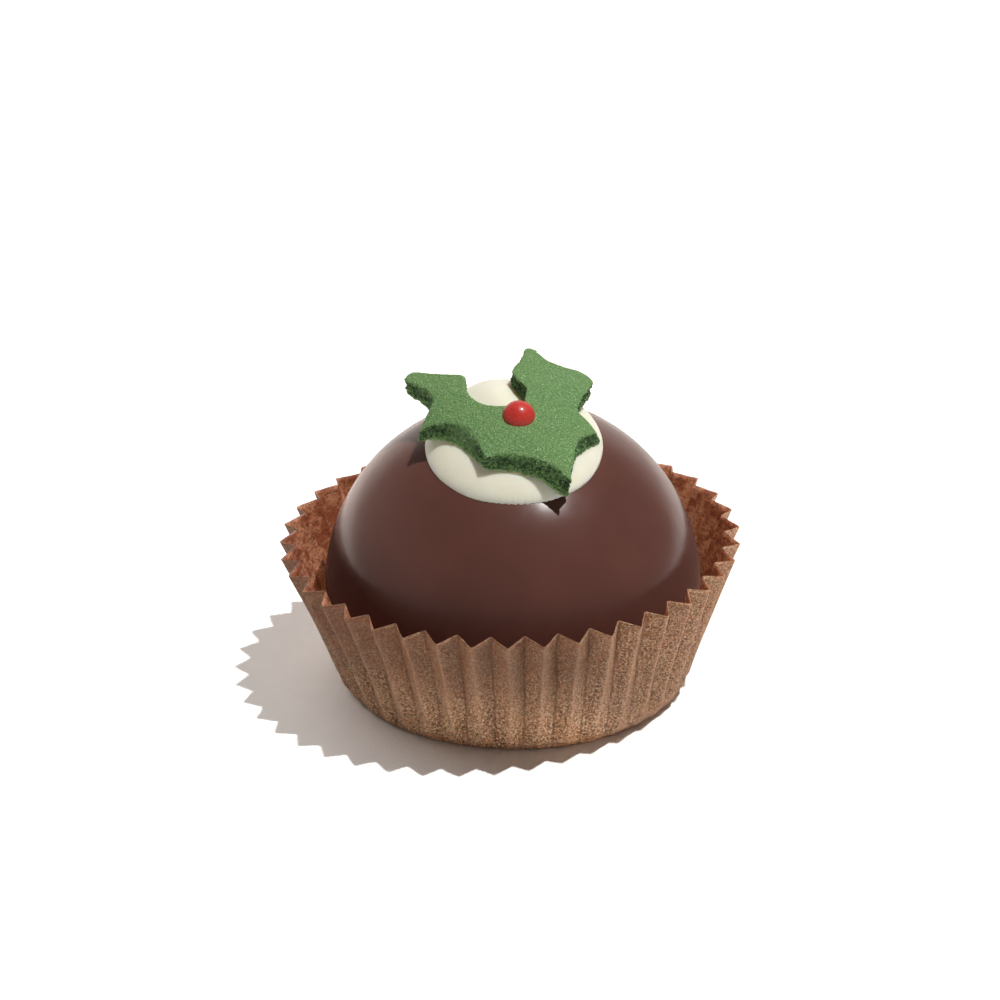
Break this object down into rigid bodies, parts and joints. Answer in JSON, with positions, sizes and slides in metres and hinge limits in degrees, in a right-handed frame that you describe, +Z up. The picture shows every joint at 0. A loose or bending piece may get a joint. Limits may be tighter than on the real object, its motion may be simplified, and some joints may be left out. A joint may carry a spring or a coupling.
{
  "type": "pudding truffle",
  "caption": "Dome-shaped chocolate truffle with white icing, a holly leaf and a berry of sugar, standing in a pleated paper case.",
  "frame": {"origin": "centre of the paper case's base, on the surface that the truffle stands on", "axes": "+Z up through the dome; -Y is the front, where the icing and the leaf's shared tip run lowest; +X is to the right seen from the front"},
  "size_m": [0.0396, 0.0381, 0.0283],
  "materials": {
    "kraft_paper": "thin brown greaseproof kraft paper, pleated, with fine fibres, a little see-through",
    "chocolate": "moulded milk chocolate with a satin gloss",
    "white_icing": "smooth ivory icing that has set with a soft gloss",
    "green_sugar_paste": "matt green sugar paste with a fine sparkling sugar grain",
    "red_sugar": "glossy red sugar ball"
  },
  "bodies": {
    "root": {"paper_case": "kraft_paper", "truffle": "chocolate", "icing": "white_icing", "holly_leaf": "green_sugar_paste", "berry": "red_sugar"}
  },
  "joints": []
}
